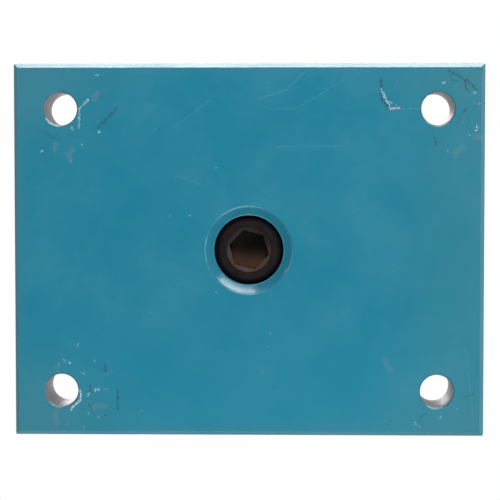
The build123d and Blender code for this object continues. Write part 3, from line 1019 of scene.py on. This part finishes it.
finish_piece(make_plate(), paint(), "base", "painted_steel", "mounting_plate")
BOLT_FINISH = bolt_finish()
finish_piece(make_bolt(), BOLT_FINISH, "base", "black_oxide_steel", "swivel_bolt")
finish_piece(threaded_rod("swivel_bolt_thread", BOLT_HIGH.z - THREAD_LENGTH, BOLT_HIGH.z), OXIDE,
             "base", "black_oxide_steel", "swivel_bolt")
finish_piece(make_bushing(), OXIDE, "base", "black_oxide_steel", "bushing")
finish_piece(make_washer(), ZINC, "base", "zinc_plated_steel", "top_washer")
finish_piece(make_nut(), ZINC, "base", "zinc_plated_steel", "lock_nut")
finish_piece(make_body(), black_oxide("machined_black"), "swivel", "black_oxide_steel", "swivel_body")
finish_piece(make_pin(1, "bail_pin_left_head"), OXIDE, "swivel", "black_oxide_steel", "bail_pin_left")
finish_piece(make_pin(-1, "bail_pin_right_head"), OXIDE, "swivel", "black_oxide_steel", "bail_pin_right")
finish_piece(make_bail(), forged(), "bail", "forged_steel", "bail")
for node in ("lower_thrust_washer", "upper_thrust_washer", "body_sleeve"):
    dress_node(node, BRONZE)
for node in ("retaining_ring", "roll_pin_left", "roll_pin_right"):
    dress_node(node, SPRING)
for node in ("pin_washer_left", "pin_washer_right"):
    dress_node(node, ZINC)
dress_node("nylon_insert", nylon())


# ======================================================================
# stage, light and camera
# ======================================================================

CAMERA_PLACE = Vector((23, -42, -884)) * MM
CAMERA_AIM = Vector((0.7, -0.2, 0.0)) * MM
CAMERA_LENS = 120
FLOOR_RADIUS = 1.3
FLOOR_CLEAR = 0.25
FLOOR_HEIGHT = 0.3 * MM
WORLD_BELOW = 0.10
WORLD_ABOVE = 0.75
WORLD_RAMP = (-0.35, 0.15)


def look(obj, aim, up):
    """Points an object's -Z at a place, with its +Y as near to up as it goes."""
    ahead = (Vector(aim) - obj.location).normalized()
    right = ahead.cross(Vector(up)).normalized()
    above = right.cross(ahead)
    obj.rotation_mode = "QUATERNION"
    obj.rotation_quaternion = Matrix((right, above, -ahead)).transposed().to_quaternion()


def make_camera():
    """The camera of the main view, which looks up at the mounting face."""
    data = bpy.data.cameras.new("camera")
    data.lens = CAMERA_LENS
    data.sensor_width = 36
    data.clip_start, data.clip_end = 0.01, 50
    camera = bpy.data.objects.new("camera", data)
    scene.collection.objects.link(camera)
    camera.location = CAMERA_PLACE
    look(camera, CAMERA_AIM, (0, -1, 0))
    scene.camera = camera


def soft_light(name, place, wide, high, watts, aim=(0, 0, 0.02), diffuse=True):
    """A softbox that the camera does not see. Without diffuse it is seen only in gloss."""
    data = bpy.data.lights.new(name, "AREA")
    data.shape = "RECTANGLE"
    data.size, data.size_y = wide, high
    data.energy = watts
    light = bpy.data.objects.new(name, data)
    scene.collection.objects.link(light)
    light.location = place
    look(light, aim, (0, 0.1, 1))
    light.visible_camera = False
    light.visible_diffuse = diffuse


def make_world():
    """White behind the object; for its light, a pale dome above and a dim one below."""
    world = bpy.data.worlds.new("world")
    scene.world = world
    world.use_nodes = True
    tree = world.node_tree
    n = Nodes(tree)
    shown = tree.nodes["Background"]
    shown.inputs["Color"].default_value = (1, 1, 1, 1)
    height = n.parts(n.node("ShaderNodeTexCoord", "Generated"))[2]
    strength = n.band(height, *WORLD_RAMP, WORLD_BELOW, WORLD_ABOVE)
    lit = n.node("ShaderNodeBackground", inputs={"Strength": strength})
    seen = n.node("ShaderNodeLightPath", "Is Camera Ray")
    either = n.node("ShaderNodeMixShader", inputs={0: seen, 1: lit, 2: shown.outputs[0]})
    tree.links.new(either, tree.nodes["World Output"].inputs["Surface"])


def make_floor():
    """A pale floor that shows only from above and fades out far away."""
    bm = bmesh.new()
    bmesh.ops.create_circle(bm, cap_ends=True, segments=128, radius=FLOOR_RADIUS)
    bmesh.ops.transform(bm, matrix=Matrix.Translation((0, 0, FLOOR_HEIGHT)), verts=bm.verts)
    floor = from_bmesh("floor", bm)
    if floor.data.polygons[0].normal.z < 0:
        floor.data.flip_normals()
    s = Shader("pale_floor", Roughness=0.9, Specular_IOR_Level=0.2)
    p = s.place()
    s.set("Base Color", s.mix(s.noise(p, 0.004, detail=2), (0.80, 0.80, 0.80), (0.83, 0.83, 0.83)))
    far = s.band(s.vector("LENGTH", p), FLOOR_CLEAR / MM, FLOOR_RADIUS / MM, 1.0, 0.0)
    behind = s.node("ShaderNodeNewGeometry", "Backfacing")
    s.set("Alpha", s.math("MULTIPLY", far, s.math("SUBTRACT", 1.0, behind)))
    floor.data.materials.append(s.material)
    floor.visible_diffuse = False
    floor.visible_glossy = False
    floor.visible_transmission = False
    floor.visible_shadow = False


make_camera()
make_world()
make_floor()
soft_light("under_key", (0.20, -1.12, 0.05), 1.6, 0.22, 16, diffuse=False)
soft_light("under_glint", (0.35, -1.1, -0.09), 1.3, 0.1, 7.5, diffuse=False)
soft_light("under_top", (0.1, -0.75, -0.9), 0.6, 0.6, 9.2)
soft_light("under_low", (0.15, 0.75, -0.8), 0.7, 0.7, 7.2)
soft_light("under_left", (-0.9, -0.3, -0.8), 0.6, 0.6, 2.6)
soft_light("under_right", (1.0, 0.1, -0.8), 0.6, 0.6, 5)
soft_light("over_key", (-0.7, -0.9, 1.3), 0.9, 0.9, 34)
soft_light("over_fill", (1.2, 0.2, 0.8), 0.9, 0.9, 12)
soft_light("over_rim", (-0.2, 1.2, 0.9), 0.8, 0.8, 16)
scene.view_settings.view_transform = "Standard"
scene.cycles.use_denoising = True
